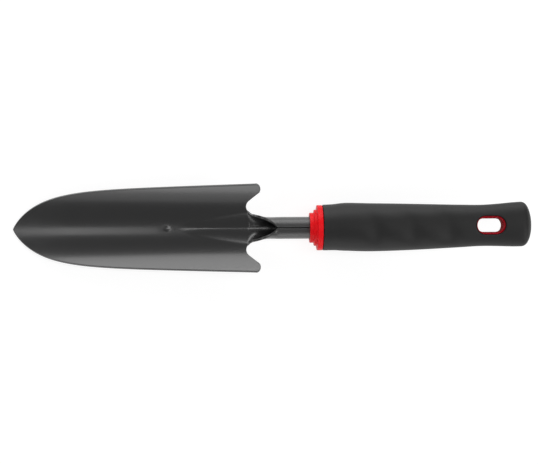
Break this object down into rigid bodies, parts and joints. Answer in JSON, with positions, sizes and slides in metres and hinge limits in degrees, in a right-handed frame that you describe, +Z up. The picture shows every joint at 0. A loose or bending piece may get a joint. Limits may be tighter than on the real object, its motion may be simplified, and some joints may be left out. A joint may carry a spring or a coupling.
{
  "type": "garden trowel",
  "caption": "Narrow hand trowel with a pointed, troughed steel blade whose rear rolls into a tubular shank, and a stepped-collar soft-grip handle with a hanging slot.",
  "frame": {"origin": "bottom centre of the bounding box, on the ground the trowel lies on", "axes": "+X along the tool from the tip towards the butt, +Z up out of the open scoop; the shank rises about 6.8 degrees towards the butt"},
  "size_m": [0.3196, 0.055, 0.037],
  "materials": {
    "blade_steel": "semi-gloss black powder coat",
    "core_plastic": "satin red moulded polypropylene",
    "grip_rubber": "matt black thermoplastic rubber"
  },
  "bodies": {
    "root": {"blade": "blade_steel", "handle_core": "core_plastic", "grip": "grip_rubber"}
  },
  "joints": []
}
